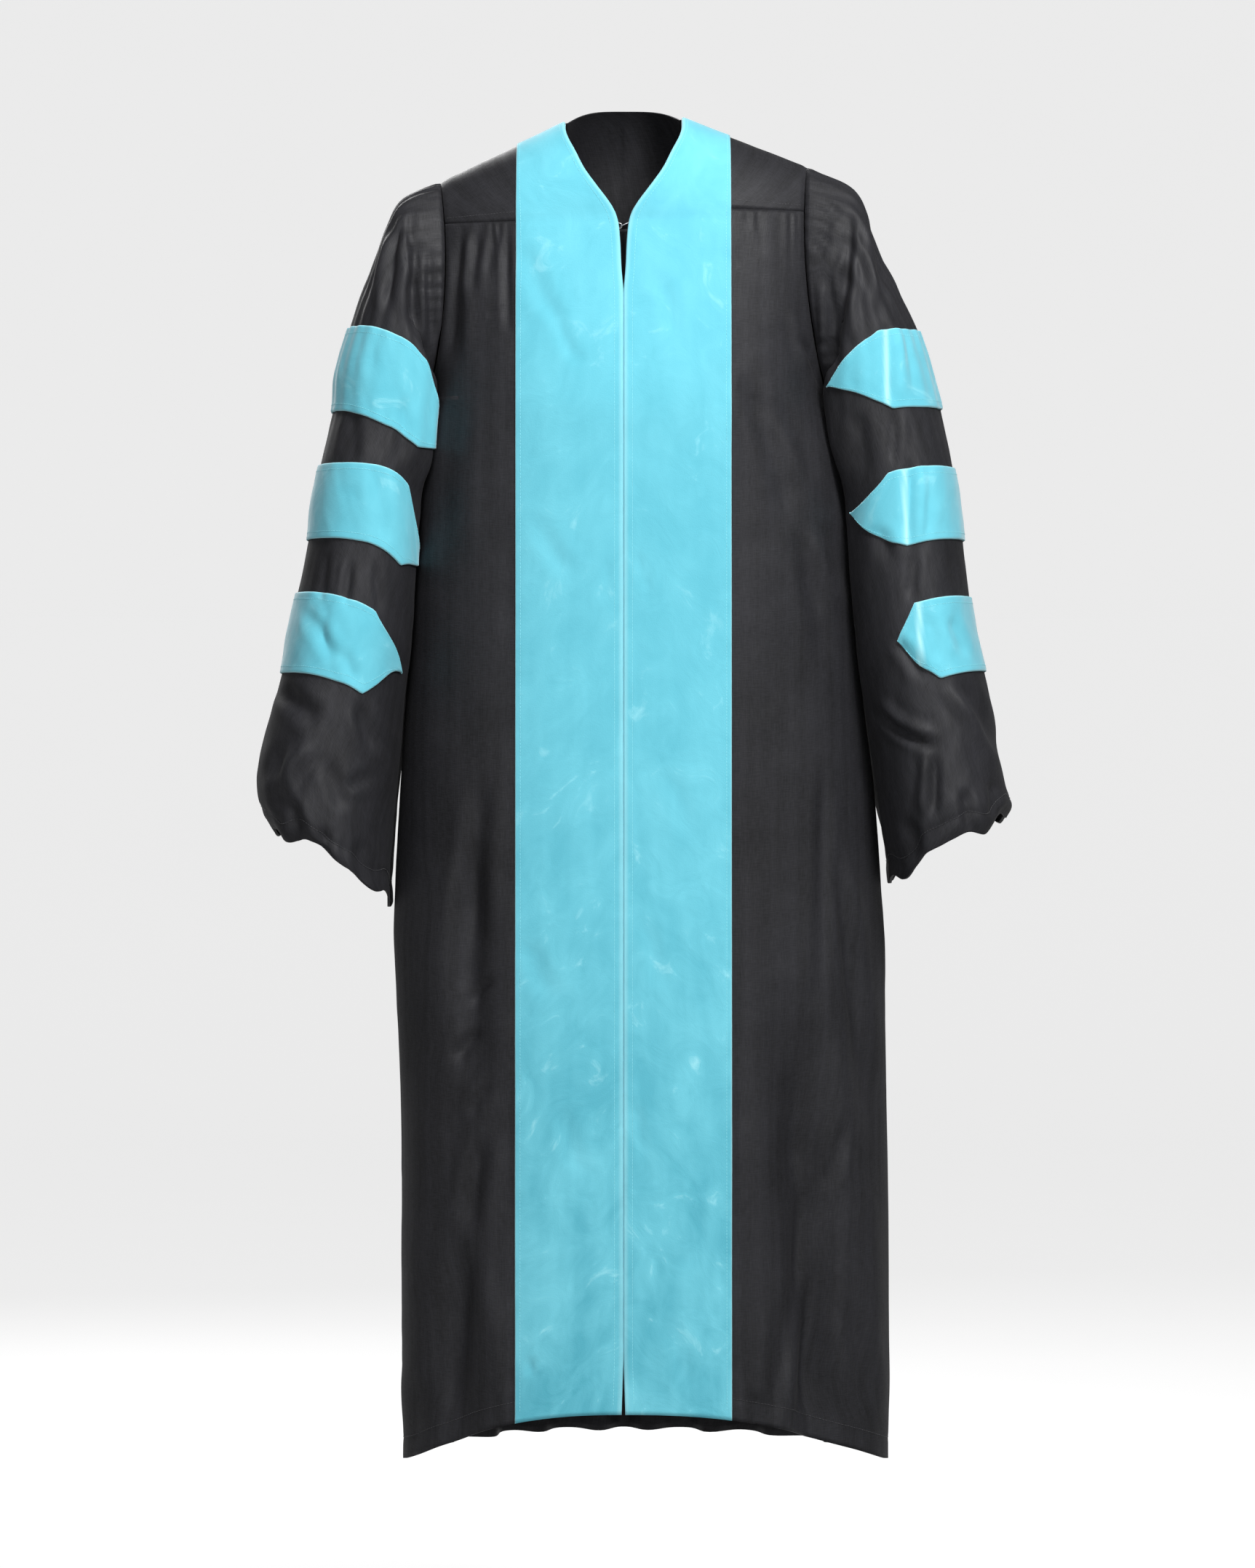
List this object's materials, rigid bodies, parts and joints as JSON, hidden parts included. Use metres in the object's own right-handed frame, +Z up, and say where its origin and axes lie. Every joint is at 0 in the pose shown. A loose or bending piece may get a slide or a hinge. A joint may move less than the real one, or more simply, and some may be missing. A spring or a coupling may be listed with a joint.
{
  "type": "doctoral graduation gown",
  "caption": "Worn-form doctoral gown with a gathered back, bell sleeves, full-length velvet front panels and velvet sleeve bars.",
  "frame": {"origin": "midway between the shoulder seams, at the height of the base of the neck, where the wearer carries the gown", "axes": "+X to the wearer's left, -Y to the front, +Z up"},
  "size_m": [0.782, 0.3598, 1.401],
  "materials": {
    "black_cloth": "black matte polyester cloth with a faint satin sheen",
    "velvet": "turquoise velvet with a short mottled pile",
    "zip_tape": "black woven zip tape with a nylon chain",
    "steel": "nickel-plated steel"
  },
  "bodies": {
    "root": {"back_yoke": "black_cloth", "back": "black_cloth", "front_yoke_right": "black_cloth", "front_right": "black_cloth", "sleeve_right": "black_cloth", "velvet_right": "velvet", "bar_right_1": "velvet", "bar_right_2": "velvet", "bar_right_3": "velvet", "front_yoke_left": "black_cloth", "front_left": "black_cloth", "sleeve_left": "black_cloth", "velvet_left": "velvet", "bar_left_1": "velvet", "bar_left_2": "velvet", "bar_left_3": "velvet", "zip": "zip_tape", "zip_slider": "steel", "neck_hook": "steel", "neck_eye": "steel"}
  },
  "joints": []
}
